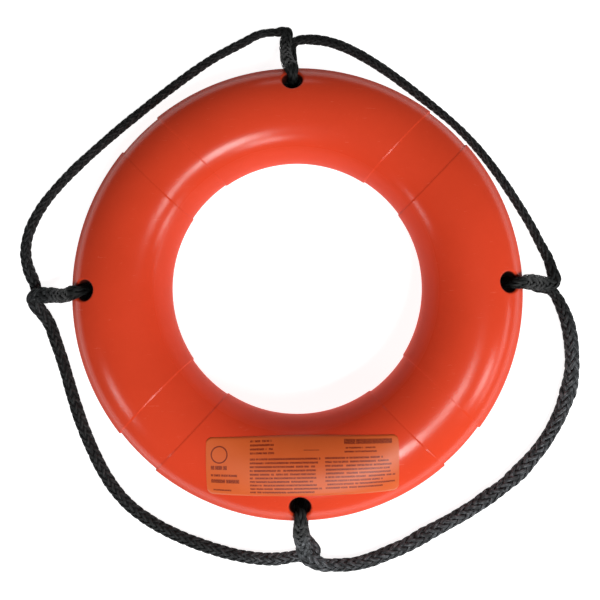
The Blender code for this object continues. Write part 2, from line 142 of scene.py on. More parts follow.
# The sides of the ring, clockwise from above, and each junction of the grab line there.
# A station of the line is its place in millimetres: outside the rim, clockwise of the hole's
# azimuth and above the floor. Then come the line's width and thickness there.
# "fold" is where the line that arrives is folded and rises to the rim, "over" gives its place
# clockwise and its width on the way over the rim and into the hole, and "under" is where it
# leaves again.
SIDES = {
    "top": {"azimuth": QUARTER, "fold": [
        (66, -28, 7.4, 10.4, 9), (65, -20, 9.6, 11, 8.4), (64.4, -12.4, 12.6, 12.8, 7.4),
        (61.8, -7.6, 15, 15, 6.8), (56, -7, 16.6, 15, 6.8), (49, -8.6, 19, 14.8, 7.2),
        (38, -9, 25.4, 14.2, 8), (24, -8, 39, 14.6, 8.4), (10, -6.4, 55.4, 15.6, 8.6),
    ], "over": ((-4, 16.8), (-0.8, 16.3), (0.8, 11.8)), "under": [
        (-10, 1, 5.4, 11.4, 9.2), (2, 1.4, 5.1, 11.6, 9.2), (16, 0.8, 5.1, 11.8, 9.2),
        (30, -0.6, 5.6, 11.8, 9.2), (41, -1.4, 5.9, 11.8, 9), (49.5, -1, 5.7, 12, 9),
        (54.8, 3.6, 5.3, 11.8, 9), (56.8, 11.5, 5, 12.2, 9.2),
    ]},
    "right": {"azimuth": 0.0, "fold": [
        (50.6, -26, 7.2, 12.8, 9), (51.2, -18.5, 9.8, 13.8, 8.4), (51.8, -11, 13, 14.8, 7.6),
        (52, -4, 15.8, 16.8, 6.8), (49.6, 0.8, 17.4, 16.6, 6.8), (44, 2, 19.4, 16.6, 7.2),
        (35, 2, 25.2, 17, 7.8), (24, 1.2, 37, 17.6, 8.4), (10, 0.8, 55, 18.2, 8.8),
    ], "over": ((-0.1, 16.5), (0.7, 14.1), (1.5, 11.6)), "under": [
        (-10, 0.6, 5.4, 12, 9.2), (2, 1, 5.1, 12, 9.2), (16, 1.8, 5.1, 12.6, 9.2),
        (28, 3.4, 5.4, 13.2, 9.4), (38, 6.9, 5.8, 13.6, 9.6), (47, 8.6, 5.8, 13.2, 9.6),
        (54, 12.8, 5.6, 12.8, 10), (59, 20.6, 5.6, 13.6, 10.6),
    ]},
    "bottom": {"azimuth": -QUARTER, "fold": [
        (68, -33, 7.8, 14.2, 11), (66.2, -25, 11.4, 15, 10), (62.2, -17.5, 14.8, 16.2, 8.8),
        (57.4, -10, 17.4, 17.6, 7.6), (52, -4.6, 19.2, 18, 7.2), (45.5, -2.2, 21.8, 17.8, 7.4),
        (37, -1.7, 27.4, 17.6, 7.8), (26, -0.1, 37, 18, 8.2), (10, 0.2, 55.4, 18.2, 8.6),
    ], "over": ((-0.2, 16.6), (-0.3, 14.4), (-0.4, 12.4)), "under": [
        (-10, -0.6, 5.4, 12, 9.2), (2, -0.8, 5.1, 12.4, 9.2), (16, -1.2, 5.1, 12.8, 9.2),
        (29, -2, 5.6, 13, 9.6), (38, -4.4, 6.4, 13.2, 10.2), (45, -10, 7.4, 13.6, 10.6),
        (51.5, -15, 7.8, 14, 10.6), (57.2, -13.4, 7, 13.6, 10), (59.4, -6, 5.6, 13.2, 9.4),
        (59, 2.6, 5.2, 13, 9.2), (59.2, 10, 5, 13.2, 9.2), (60.4, 18, 5, 13.2, 9.4),
    ]},
    "left": {"azimuth": 2 * QUARTER, "fold": [
        (51.6, -31, 7.4, 15.4, 9.4), (57, -22.5, 10, 16.6, 9), (61.2, -14.8, 13.6, 17.6, 8),
        (61.2, -8, 16.2, 18.8, 7.2), (55.4, -4.2, 17.8, 19.2, 7), (46, -4.6, 20, 19.4, 7.4),
        (36, -4.5, 25.6, 18.4, 7.8), (24, -5.1, 37.6, 17.2, 8.2), (10, -5.5, 55.4, 16.6, 8.6),
    ], "over": ((-4.6, 16.4), (-2.7, 16.6), (-1, 12.8)), "under": [
        (-10, 0.4, 5.4, 12, 9.2), (2, -1, 5.1, 12.4, 9.2), (16, -2.8, 5.1, 12.6, 9.2),
        (30, -5, 5.3, 12.6, 9.2), (43, -7.2, 5.6, 12.6, 9.2), (53, -8.2, 5.8, 12.6, 9),
        (60.4, -4.8, 5.7, 12.8, 9), (64.4, 2.4, 5.4, 13.2, 9), (67.2, 11, 5.1, 13.8, 9.2),
    ]},
}
FOLD_STATION = 3  # of each fold, where the ring's piece of the line begins
TURN_STATION = {"top": 5, "right": 5, "bottom": 8, "left": 6}  # of "under", where it ends

# The bights: the azimuth in degrees, the millimetres outside the rim and the width. The course is
# the solids', with the small waves and swellings that the line has in the photograph.
BIGHTS = {
    "upper_right": {
        "from": "top", "to": "right", "diameter": 0.0105, "thickness": 9.4, "wear": 0.18, "route": [
            (85.5, 57.7, 13.2), (82, 56.8, 13.3), (78, 53, 13.3), (74, 47.7, 12.8), (70, 42.2, 12.4),
            (65, 36, 12.1), (60, 30.9, 11.7), (55, 27.5, 11.2), (50, 25.9, 10.5), (45, 25.8, 9.8),
            (39, 26.1, 10.2), (33, 27.1, 10.8), (26, 29.7, 11), (19, 34.5, 10.9), (13, 41, 11.2),
            (9.5, 45.1, 11.4),
        ],
    },
    "lower_right": {
        "from": "right", "to": "bottom", "diameter": 0.0165, "thickness": 12.4, "wear": 0.82, "route": [
            (-5.2, 63.6, 15), (-7.7, 70.4, 15.9), (-10.3, 75.8, 17.1), (-13.5, 81.1, 16.7),
            (-17, 86.1, 16.9), (-19, 88.2, 17.1), (-20.6, 89.5, 19.2), (-22.4, 90.2, 19),
            (-24.2, 90.5, 17.1), (-27, 90.8, 16.1), (-30.5, 90.2, 15.3), (-34, 89, 15.4),
            (-38, 86.4, 15.9), (-40.6, 84.8, 18.1), (-42.4, 83.3, 17.6), (-44.4, 81.7, 15.3),
            (-46.8, 79.4, 16.3), (-49.3, 76.9, 17.1), (-52, 75.1, 15.7), (-56, 72.4, 15.7),
            (-60, 70.4, 15.6), (-64, 69.7, 17.1), (-68, 71.1, 15.5), (-72, 71.6, 15.6),
            (-76, 73.1, 15.4), (-79.5, 73.4, 14.3), (-82, 72, 14),
        ],
    },
    "lower_left": {
        "from": "bottom", "to": "left", "diameter": 0.0145, "thickness": 9.8, "wear": 0.12, "route": [
            (-94.9, 62.7, 13.9), (-97.5, 64.4, 14.2), (-101, 65.5, 13.9), (-105, 66.2, 13.7),
            (-110, 66.8, 13.9), (-116, 68.3, 13.9), (-122, 69.9, 13.6), (-128, 70.2, 13.6),
            (-133, 67.5, 14.1), (-138, 62.4, 14.1), (-144, 55.4, 14.4), (-150, 49.5, 14.9),
            (-156, 44.9, 14.4), (-161, 42.9, 14.2), (-165, 43.4, 14.4), (-169, 46.1, 14.5),
            (-172, 49.1, 14.9),
        ],
    },
    "upper_left": {
        "from": "left", "to": "top", "diameter": 0.0105, "thickness": 9.4, "wear": 0.18, "route": [
            (176.2, 73.3, 14.6), (174.2, 78.4, 14), (172, 82.2, 13.4), (169, 83.8, 13),
            (165.5, 81.9, 13.1), (161, 76.1, 12.3), (156, 67.2, 12), (151, 58.7, 12.5),
            (146, 51.2, 11.8), (141, 45.6, 12.2), (136, 41.9, 12.4), (131, 39.7, 12), (126, 39.7, 12),
            (120, 42, 11.6), (114, 46.8, 11.8), (109, 52.3, 11.3), (104, 57.8, 11.3), (101, 62, 11.4),
            (98.7, 66.4, 10.7), (97, 68.3, 10.7),
        ],
    },
}
LOOP_WEAR = {"top": 0.0, "right": 0.05, "bottom": 0.95, "left": 0.30}
WEAR_FADE = 4  # stations of a bight over which the wear of the loop before it ends
WEAR_OUTSIDE = 15.0  # nearer the ring than this, the line gets no wear, so it is darker
LINE_WIDTH = 0.0112  # through the rope holes
LINE_THICKNESS = 0.0096
RIM_THICKNESS = 8.8  # of the line on its way over the rim, in millimetres
LINE_GAP = 0.0006
LIP_ROOM = 0.0008  # more room over each lip of a hole
FLOOR_ROOM = 0.00015  # under a bight
OVER_TURNS = (26, 42)  # degrees up round the tube, for the first places of "over"
STRAND_SWELL = 0.0004  # how far the strands stand out of the width given
# Slight swellings along the line, as shares of its width, with their lengths and phases
LINE_WAVES = (
    (0.010, 0.083, 0.4), (0.014, 0.031, 1.7), (0.014, 0.0157, 4.1), (0.012, 0.0102, 2.6),
)
LINE_STEP = 0.0013
CURVE_STEPS = 24
LEVEL_ENOUGH = 0.25  # a steeper line keeps the axis that its width had before
TURN_SHARE = 0.35  # how much of a new axis the line's width takes on at each point
STRANDS = 8  # each way round
BRAID = {"Strand Thickness": 0.0016, "Strand Cover": 0.86, "Strands Each Way": STRANDS}
OVER_SOFTNESS = 0.14  # how gently a strand changes from over to under
STRAND_WIDTHS = (1.6, 4.2)  # the least and the most, in thicknesses
STRAND_FLATNESS = 0.36
STRAND_CORNERS = 8
CORE_CORNERS = 14
THREAD = 0.001  # the core's radius before each point is set in its place
CORE_INSET = 1.35  # strand thicknesses from the line's surface to its dark core
BRAID_PITCH = 0.076  # for one turn of a strand, where the line's half sizes add up to PITCH_SIZE
PITCH_SIZE = 0.0101
PITCH_POWER = 0.4
LINE_MEASURES = ("half_width", "half_height", "wear", "turns", "distance")
LINE_AXES = ("side", "rise")
BUILDING_LAYERS = ("centre", "strand", "core_across", "core_up")
KEPT_LAYERS = ("wear",)

# The camera and the light
CAMERA_PLACE = (0.01315, -0.00399, 0.64572)
CAMERA_TURN = (0.08430463, 0.01046271, -0.0196008)
FOCAL_PIXELS = 525.92
CENTRE_PIXEL = (302.84, 245.16)
IMAGE_PIXELS = 600
SENSOR = 36.0
FLOOR_REACH = 3.0
FLOOR_GLOW = 0.92
SKY = 0.02
BACKDROP = 1.0  # what the camera sees past the floor's edge
LAMP_DISTANCE = 2.0
LAMPS = {
    # name: (azimuth, elevation, width, height, power)
    "key": (-65, 60, 0.40, 0.40, 18.4),
    "key_front": (-80, 45, 0.40, 0.40, 8.5),
    "key_right": (-36, 60, 0.35, 0.35, 6.6),
    "fill_right": (-28, 32, 0.35, 0.35, 6.5),
    "low_right": (-20, 18, 0.90, 0.25, 3.9),
    "fill_left": (210, 30, 0.35, 0.35, 3.9),
    "back": (92, 18, 0.50, 0.25, 1.0),
}


def operator(operation):
    return lambda wire, other: wire.math(operation, other)


class Wire:
    """A node's output. Sums and products of wires and numbers add Math nodes."""

    def __init__(self, tree, socket):
        self.tree = tree
        self.socket = socket

    def math(self, operation, *others):
        inputs = dict(enumerate((self, *others)))
        return node(self.tree, "ShaderNodeMath", inputs, operation=operation)

    def vector(self, operation, *others):
        inputs = dict(enumerate((self, *others)))
        return node(self.tree, "ShaderNodeVectorMath", inputs, operation=operation)

    def scaled(self, by):
        inputs = {0: self, "Scale": by}
        return node(self.tree, "ShaderNodeVectorMath", inputs, operation="SCALE")

    def axis(self, number):
        return node(self.tree, "ShaderNodeSeparateXYZ", {0: self}, number)

    def ramp(self, low, high, start=0.0, end=1.0):
        """Runs smoothly from start at low to end at high."""
        inputs = {0: self, 1: low, 2: high, 3: start, 4: end}
        return node(self.tree, "ShaderNodeMapRange", inputs, interpolation_type="SMOOTHSTEP")

    def __rsub__(self, other):
        return self.math("MULTIPLY_ADD", -1.0, other)

    def __neg__(self):
        return self.math("MULTIPLY", -1.0)

    __add__ = __radd__ = operator("ADD")
    __sub__ = operator("SUBTRACT")
    __mul__ = __rmul__ = operator("MULTIPLY")
    __truediv__ = operator("DIVIDE")


def node(tree, kind, inputs=None, output=0, **settings):
    """Adds a node, with its settings first and then the values or wires of its sockets."""
    made = with_values(tree.nodes.new(kind), **settings)
    for key, value in (inputs or {}).items():
        if isinstance(value, Wire):
            tree.links.new(value.socket, made.inputs[key])
        else:
            made.inputs[key].default_value = value
    return Wire(tree, made.outputs[output])


def with_values(target, **values):
    for name, value in values.items():
        setattr(target, name, value)
    return target


def joined(tree, *axes):
    return node(tree, "ShaderNodeCombineXYZ", dict(enumerate(axes)))


def hypotenuse(x, y):
    return (x * x + y * y).math("SQRT")


def mixed(factor, one, other):
    """A colour between two, by a factor."""
    one, other = ((*c, 1.0) if isinstance(c, tuple) else c for c in (one, other))
    inputs = {0: factor, 6: one, 7: other}
    return node(factor.tree, "ShaderNodeMix", inputs, 2, data_type="RGBA")


def noise(place, scale, detail=3.0, roughness=0.5):
    inputs = {"Vector": place, "Scale": scale, "Detail": detail, "Roughness": roughness}
    return node(place.tree, "ShaderNodeTexNoise", inputs)


def bumped(height, strength, distance, after=None):
    inputs = {"Height": height, "Strength": strength, "Distance": distance}
    if after:
        inputs["Normal"] = after
    return node(height.tree, "ShaderNodeBump", inputs)


def finish_for(name, constants):
    """A new Principled material, with its constants set on the shader's own sockets."""
    made = bpy.data.materials.new(name)
    made.use_nodes = True
    for key, value in constants.items():
        made.node_tree.nodes["Principled BSDF"].inputs[key].default_value = value
    return made


def object_place(finish):
    return node(finish.node_tree, "ShaderNodeTexCoord", output=3)


def fed(finish, **wires):
    """The finish, with what changes over its surface linked to its shader."""
    names = {"colour": "Base Color", "roughness": "Roughness", "normal": "Normal"}
    for key, wire in wires.items():
        socket = finish.node_tree.nodes["Principled BSDF"].inputs[names[key]]
        finish.node_tree.links.new(wire.socket, socket)
    return finish


def orange_polyethylene():
    """Moulded skin: satin gloss, faintly mottled, with fine orange peel, a few scuffs and painted shade
    by the rope holes.
    """
    made = finish_for("orange polyethylene", {"Specular IOR Level": 0.21})
    place = object_place(made)
    tone = noise(place, 9.0, 3.0).ramp(0.3, 0.7) * 0.7 + noise(place, 140.0, 2.0) * 0.3
    colour = mixed(tone, (0.66, 0.053, 0.0185), (0.74, 0.061, 0.0225))
    stretched = node(place.tree, "ShaderNodeMapping", {0: place, "Scale": (1.0, 5.0, 1.0)})
    scuffs = noise(stretched, 60.0, 4.0, 0.65).ramp(0.62, 0.72)
    colour = mixed(scuffs * 0.10, colour, (0.80, 0.16, 0.08))
    # Outwards and sideways from the nearest rope hole's axis: painted shadow of the line beside and
    # beyond each hole, with some rub marks, and painted shade inside each hole
    x, y = (place.axis(number).math("ABSOLUTE") for number in (0, 1))
    along, aside = x.math("MAXIMUM", y) - HOLE_CIRCLE_RADIUS, x.math("MINIMUM", y)
    line_shadow_and_rub = aside.ramp(0.006, 0.012, 1.0, 0.0) * along.ramp(0.002, 0.008)
    line_shadow_and_rub = line_shadow_and_rub * (0.3 + 0.7 * noise(place, 180.0, 3.0))
    colour = mixed(line_shadow_and_rub * 0.6, colour, (0.10, 0.012, 0.007))
    # Painted shade: the hole's wall is coloured almost black, as a hole in shadow looks, and is made
    # rougher
    bore_shade = hypotenuse(along, aside).ramp(0.0108, 0.0127, 1.0, 0.0)
    colour = mixed(bore_shade * 0.95, colour, (0.012, 0.003, 0.002))
    # The ring's outer and inner side are less glossy than its crown
    outward = (hypotenuse(x, y) - MID_RADIUS) / TUBE_RADIUS
    side = 0.56 * outward.ramp(0.68, 0.87) + 0.40 * (-outward).ramp(0.72, 0.92)
    rough = 0.175 + 0.04 * noise(place, 35.0, 2.0) + 0.12 * scuffs + 0.45 * bore_shade + side
    peel = bumped(noise(place, 700.0, 2.0), 0.12, 0.0004)
    sag = bumped(noise(place, 26.0, 1.0), 0.25, 0.0012, peel)
    return fed(made, colour=colour, roughness=rough, normal=sag)


def cream_foam():
    """Closed-cell foam: pale cells with darker walls."""
    made = finish_for("cream foam", {"Roughness": 0.95})
    place = object_place(made)
    cells = node(place.tree, "ShaderNodeTexVoronoi", {"Vector": place, "Scale": 900.0})
    tone = cells.ramp(0.1, 0.6)
    colour = mixed(tone, (0.74, 0.63, 0.40), (0.60, 0.48, 0.26))
    return fed(made, colour=colour, normal=bumped(tone, 0.5, 0.0005))


def plug_plastic():
    """Moulded plug, a shade deeper than the skin, faintly mottled, with a fine grain."""
    made = finish_for("plug plastic", {"IOR": 1.5})
    place = object_place(made)
    return fed(
        made, colour=mixed(noise(place, 60.0, 3.0), (0.44, 0.026, 0.012), (0.56, 0.038, 0.016)),
        roughness=0.34 + 0.14 * noise(place, 300.0, 2.0),
        normal=bumped(noise(place, 900.0, 2.0), 0.2, 0.0003),
    )


def black_braid():
    """Spun filaments in each strand, greyer where the line is worn and fluffed, with painted glints
    along the strands and painted shade between them.
    """
    made = finish_for("black braid", {"Specular IOR Level": 0.22})
    tree = made.node_tree
    across, along, tone, wear = (
        node(tree, "ShaderNodeAttribute", output=2, attribute_name=name)
        for name in ("strand_across", "strand_along", "strand_tone", "wear")
    )
    threads = noise(joined(tree, across * 5.0, along * 190.0, tone * 60.0), 1.0, 3.0, 0.6)
    # The lighter colour shows in threads and stretches along each strand: the filaments' own tone with
    # painted glints
    tone_and_glint_patches = noise(joined(tree, across * 0.6, along * 170.0, tone * 31.0), 1.0, 2.0)
    dark = mixed(wear, (0.0026, 0.0033, 0.0032), (0.0200, 0.0218, 0.0232))
    light = mixed(wear, (0.0165, 0.0190, 0.0185), (0.083, 0.090, 0.099))
    colour = mixed(threads.ramp(0.3, 0.7) * tone_and_glint_patches.ramp(0.34, 0.60), dark, light)
    # Painted shade: each strand is darker towards its edges, where strands meet, and less so where the
    # line is worn
    crease_shade = across.math("ABSOLUTE").ramp(0.55, 1.0) * (0.75 - 0.40 * wear)
    colour = mixed(crease_shade, colour, (0.002, 0.002, 0.002))
    fluff = threads.ramp(0.44, 0.74) * tone_and_glint_patches.ramp(0.38, 0.64)
    frayed = mixed(wear, (0.10, 0.110, 0.104), (0.33, 0.35, 0.37))
    colour = mixed(fluff * (0.25 + 0.50 * wear), colour, frayed)
    return fed(
        made, colour=colour, roughness=0.68 - 0.14 * threads, normal=bumped(threads, 0.55, 0.0005)
    )


def label_film():
    """Film with generic bars, a rule and a ring. Its UV map is in metres along it and up it."""
    made = finish_for("printed film", {"Specular IOR Level": 0.28})
    place, tree = object_place(made), made.node_tree
    uv = node(tree, "ShaderNodeUVMap", uv_map="label")
    x, y = uv.axis(0), uv.axis(1)

    def inside(low, high, wire, soft=PRINT_SOFTNESS):
        return wire.ramp(low - soft, low + soft) * wire.ramp(high - soft, high + soft, 1.0, 0.0)

    def block(left, right, bottom, top):
        return inside(left, right, x) * inside(bottom, top, y)

    def bars(left, right, bottom, top, count, fill, ragged, seed):
        """Ruled bars with uneven gaps and ends."""
        up = (y - bottom) / ((top - bottom) / count)
        row, up = up.math("FLOOR"), up.math("FRACT")
        bar = inside(0.5 - fill / 2, 0.5 + fill / 2, up, BAR_SOFTNESS)
        shift = node(tree, "ShaderNodeTexWhiteNoise", {"W": row + seed}, noise_dimensions="1D")
        dashes = noise(joined(tree, x * 420.0, row * 7.31 + seed, 0.5), 1.0, 1.0).ramp(0.34, 0.38)
        flecks = noise(joined(tree, x * 1500.0, y * 900.0, seed), 1.0, 1.0).ramp(0.38, 0.52)
        dashes = dashes * (0.45 + 0.55 * flecks)
        ends = (right - ragged * shift - x).ramp(-0.0003, 0.0003)
        return bar * dashes * inside(left, right, x) * ends * inside(bottom, top, y)

    ring = inside(*PRINT_RING[2:], hypotenuse(x - PRINT_RING[0], y - PRINT_RING[1]))
    ink = block(*PRINT_RULE)
    for part in [*(bars(*values) for values in PRINT_BARS), ring]:
        ink = ink.math("MAXIMUM", part)
    worn = 0.70 + 0.30 * noise(place, 260.0, 3.0)
    paper = mixed(noise(place, 22.0, 2.0), (0.58, 0.094, 0.019), (0.70, 0.128, 0.028))
    return fed(
        made, colour=mixed(ink * worn, paper, (0.120, 0.0085, 0.0045)),
        roughness=0.36 + 0.12 * noise(place, 90.0, 2.0),
        normal=bumped(noise(place, 60.0, 1.0), 0.12, 0.0008),
    )


def pale_floor():
    """Plain studio paper, pale grey, that glows as white as the studio's backdrop."""
    made = finish_for("pale floor", {
        "Roughness": 0.9, "Specular IOR Level": 0.0,
        "Emission Color": (1.0, 1.0, 1.0, 1.0), "Emission Strength": FLOOR_GLOW,
    })
    tone = noise(object_place(made), 3.0, 1.0)
    return fed(made, colour=mixed(tone, (0.43, 0.43, 0.43), (0.45, 0.45, 0.45)))


def circle_point(radius, turn, height):
    return radius * math.cos(turn), radius * math.sin(turn), height


def circle_points(radii, turns, heights):
    return np.stack([radii * np.cos(turns), radii * np.sin(turns), heights], axis=1)


def eased(share):
    """A share from 0 to 1 that starts and ends gently."""
    share = np.clip(share, 0, 1)
    return share * share * (3 - 2 * share)


def unit(vectors):
    return vectors / np.maximum(1e-9, np.linalg.norm(vectors, axis=-1, keepdims=True))


def running_sum(steps):
    return np.concatenate([[0.0], np.cumsum(steps)])


def linked(obj):
    bpy.context.scene.collection.objects.link(obj)
    return obj


def piece(name, points, faces, finish, smooth=True):
    """A mesh object at the origin."""
    mesh = bpy.data.meshes.new(name)
    mesh.from_pydata([tuple(map(float, p)) for p in points], [], faces)
    mesh.materials.append(finish)
    if smooth:
        mesh.shade_smooth()
    mesh.validate()
    return linked(bpy.data.objects.new(name, mesh))


def add_camera():
    data = with_values(
        bpy.data.cameras.new("camera"), sensor_fit="HORIZONTAL", sensor_width=SENSOR,
        lens=FOCAL_PIXELS / IMAGE_PIXELS * SENSOR, clip_start=0.02,
        shift_x=0.5 - CENTRE_PIXEL[0] / IMAGE_PIXELS, shift_y=CENTRE_PIXEL[1] / IMAGE_PIXELS - 0.5,
    )
    camera = linked(bpy.data.objects.new("camera", data))
    with_values(camera, location=CAMERA_PLACE, rotation_euler=CAMERA_TURN)
    bpy.context.scene.camera = camera


def add_lights():
    scene = bpy.context.scene
    scene.view_settings.view_transform = "Standard"
    world = bpy.data.worlds.new("studio")
    world.use_nodes = True
    back = world.node_tree.nodes["Background"]
    back.inputs["Color"].default_value = (1.0, 1.0, 1.0, 1.0)
    seen = node(world.node_tree, "ShaderNodeLightPath")
    shade = seen * (BACKDROP - SKY) + SKY
    world.node_tree.links.new(shade.socket, back.inputs["Strength"])
    scene.world = world
    for name, (azimuth, elevation, width, height, power) in LAMPS.items():
        data = bpy.data.lights.new(name, "AREA")
        with_values(data, shape="RECTANGLE", size=width, size_y=height, energy=power)
        e = math.radians(elevation)
        away = Vector(circle_point(math.cos(e), math.radians(azimuth), math.sin(e)))
        turn = away.to_track_quat("Z", "Y").to_euler()
        lamp = linked(bpy.data.objects.new(name, data))
        with_values(lamp, location=away * LAMP_DISTANCE, rotation_euler=turn)


def add_floor():
    size = FLOOR_REACH
    corners = [(-size, -size, 0), (size, -size, 0), (size, size, 0), (-size, size, 0)]
    piece("floor", corners, [(0, 1, 2, 3)], pale_floor(), smooth=False)


# The grab line


def local_point(side, outside, clockwise, height):
    """A place by a hole, in metres, from millimetres outside the rim and clockwise of the hole."""
    out = np.array(circle_point(1.0, SIDES[side]["azimuth"], 0.0))
    across = np.array((out[1], -out[0], 0.0))
    up = np.array((0.0, 0.0, height / 1000))
    return out * (RIM_RADIUS + outside / 1000) + across * (clockwise / 1000) + up


def half_thickness(radius, offset=0.0):
    """Half the tube's height at a radius, with its surface moved outwards by the offset."""
    along = (radius - MID_RADIUS) / (TUBE_RADIUS + offset)
    return (TUBE_SEMI_HEIGHT + offset) * np.sqrt(np.maximum(0.0, 1 - along * along))


def through_hole(side):
    """The line's stations over the rim, down through the hole and back under its lip."""
    stations = []

    def add(radius, height, clockwise, width, thickness):
        stations.append(((radius - RIM_RADIUS) * 1000, clockwise, height * 1000, width, thickness))

    room = LINE_THICKNESS / 2 + LINE_GAP
    over = SIDES[side]["over"]
    for turn, (clockwise, width) in zip(OVER_TURNS, over):
        a = math.radians(turn)
        radius = MID_RADIUS + (TUBE_RADIUS + room) * math.cos(a)
        height = MID_HEIGHT + (TUBE_SEMI_HEIGHT + room) * math.sin(a)
        add(radius, height, clockwise, width, RIM_THICKNESS)
    lip = HOLE_CIRCLE_RADIUS + HOLE_DIAMETER / 2
    rise = float(half_thickness(lip)) - MOUTH_ROUNDING
    narrow, thick = LINE_WIDTH * 1000, LINE_THICKNESS * 1000

    def add_by_lip(turn, up, clockwise, width):
        """A station some degrees round the upper (1) or lower (-1) lip, from straight out."""
        out, height, _ = circle_point(room + LIP_ROOM, math.radians(turn), 0.0)
        add(lip + out, max(MID_HEIGHT + up * (rise + height), room), clockwise, width, thick)

    add_by_lip(125, 1, *over[-1])
    add_by_lip(180, 1, 0.5, narrow)
    add(HOLE_CIRCLE_RADIUS, MID_HEIGHT, 0.0, narrow, thick)
    add_by_lip(180, -1, 0.0, narrow)
    add_by_lip(130, -1, 0.0, narrow)
    return stations


def line_stations():
    """All stations of the line, once round, and the indices where its pieces begin."""
    rows, cuts = [], {}
    for bight in BIGHTS.values():
        side = bight["from"]
        wear = LOOP_WEAR[side]
        arriving = SIDES[side]["fold"] + through_hole(side)
        cuts[f"{side} fold"] = len(rows) + FOLD_STATION
        cuts[f"{side} turn"] = len(rows) + len(arriving) + TURN_STATION[side]
        for outside, clockwise, height, width, thickness in arriving + SIDES[side]["under"]:
            rows.append((
                *local_point(side, outside, clockwise, height),
                width / 1000, thickness / 1000, wear if outside > WEAR_OUTSIDE else 0.0,
            ))
        thickness = bight["thickness"] / 1000
        for i, (degrees, outside, width) in enumerate(bight["route"]):
            radius, height = RIM_RADIUS + outside / 1000, thickness / 2 + FLOOR_ROOM
            rows.append((
                *circle_point(radius, math.radians(degrees), height), width / 1000, thickness,
                wear + (bight["wear"] - wear) * min(1.0, i / WEAR_FADE),
            ))
    begin = cuts["top fold"]
    cuts = {name: (index - begin) % len(rows) for name, index in cuts.items()}
    return np.roll(np.array(rows), -begin, axis=0), cuts


def smooth_round(rows):
    """A closed smooth curve through the stations, finely sampled."""
    samples = []
    t = (np.arange(CURVE_STEPS) / CURVE_STEPS)[:, None]
    for i in range(len(rows)):
        before, start, end, after = (rows[(i + k) % len(rows)] for k in (-1, 0, 1, 2))
        near, here, far = start - before, end - start, after - end
        a, b, c = (math.sqrt(np.linalg.norm(step[:3])) for step in (near, here, far))
        into = b * (near / a - (near + here) / (a + b) + here / b)
        out = b * (here / b - (here + far) / (b + c) + far / c)
        curve = (
            start * (2 * t**3 - 3 * t**2 + 1) + into * (t**3 - 2 * t**2 + t)
            + end * (3 * t**2 - 2 * t**3) + out * (t**3 - t**2)
        )
        curve[:, 3:] = start[3:] * (1 - t) + end[3:] * t
        samples.append(curve)
    return np.concatenate(samples + [rows[:1]])


class GrabLine:
    """The line's course once round the ring, with all that its braid needs at each point."""

    def __init__(self):
        rows, self.cuts = line_stations()
        fine = smooth_round(rows)
        self.place = fine[:, :3]
        steps = np.linalg.norm(np.diff(self.place, axis=0), axis=1)
        self.distance = running_sum(steps)
        uneven = sum(
            size * np.sin(FULL_TURN * self.distance / wave + phase)
            for size, wave, phase in LINE_WAVES
        )
        self.half_width = fine[:, 3] / 2 * (1 + uneven) + STRAND_SWELL
        self.half_height = fine[:, 4] / 2
        self.wear = fine[:, 5]
        ahead = unit(np.gradient(self.place, axis=0))
        size = (self.half_width + self.half_height) / PITCH_SIZE
        pitch = BRAID_PITCH * size ** PITCH_POWER * (1 + np.abs(ahead[:, 2]))
        turns = running_sum(steps / pitch[:-1])
        whole = round(turns[-1] * STRANDS) / STRANDS
        self.turns = turns * whole / turns[-1]
        self.side = width_axes(ahead)
        self.rise = unit(np.cross(ahead, self.side))

    def at_station(self, name):
        return self.distance[self.cuts[name] * CURVE_STEPS]

    def stretch(self, start, end):
        """Points at an even step between two distances, as a wire mesh with its measures."""
        count = round((end - start) / LINE_STEP)
        wanted = np.linspace(start, end, count + 1)

        def read(name):
            columns = np.atleast_2d(getattr(self, name).T)
            return np.stack([np.interp(wanted, self.distance, c) for c in columns], axis=1)

        mesh = bpy.data.meshes.new("line course")
        places = read("place")
        mesh.from_pydata([tuple(p) for p in places], [(i, i + 1) for i in range(count)], [])
        for name in LINE_MEASURES:
            layer = mesh.attributes.new(name, "FLOAT", "POINT")
            layer.data.foreach_set("value", read(name).astype(np.float32).ravel())
        for name in LINE_AXES:
            layer = mesh.attributes.new(name, "FLOAT_VECTOR", "POINT")
            layer.data.foreach_set("vector", unit(read(name)).astype(np.float32).ravel())
        return mesh, places


def width_axes(ahead):
    """The axis that the line is widest along: level, and the same way through each hole."""
    level = np.cross((0.0, 0.0, 1.0), ahead)
    axes = np.zeros_like(level)
    last = unit(level[0])
    for i, way in enumerate(ahead):
        wanted = unit(level[i]) if np.linalg.norm(level[i]) > LEVEL_ENOUGH else last
        if np.dot(wanted, last) < 0:
            wanted = -wanted
        wanted = unit(wanted - way * np.dot(wanted, way))
        last = unit(last * (1 - TURN_SHARE) + wanted * TURN_SHARE)
        last = unit(last - way * np.dot(last, way))
        axes[i] = last
    return axes


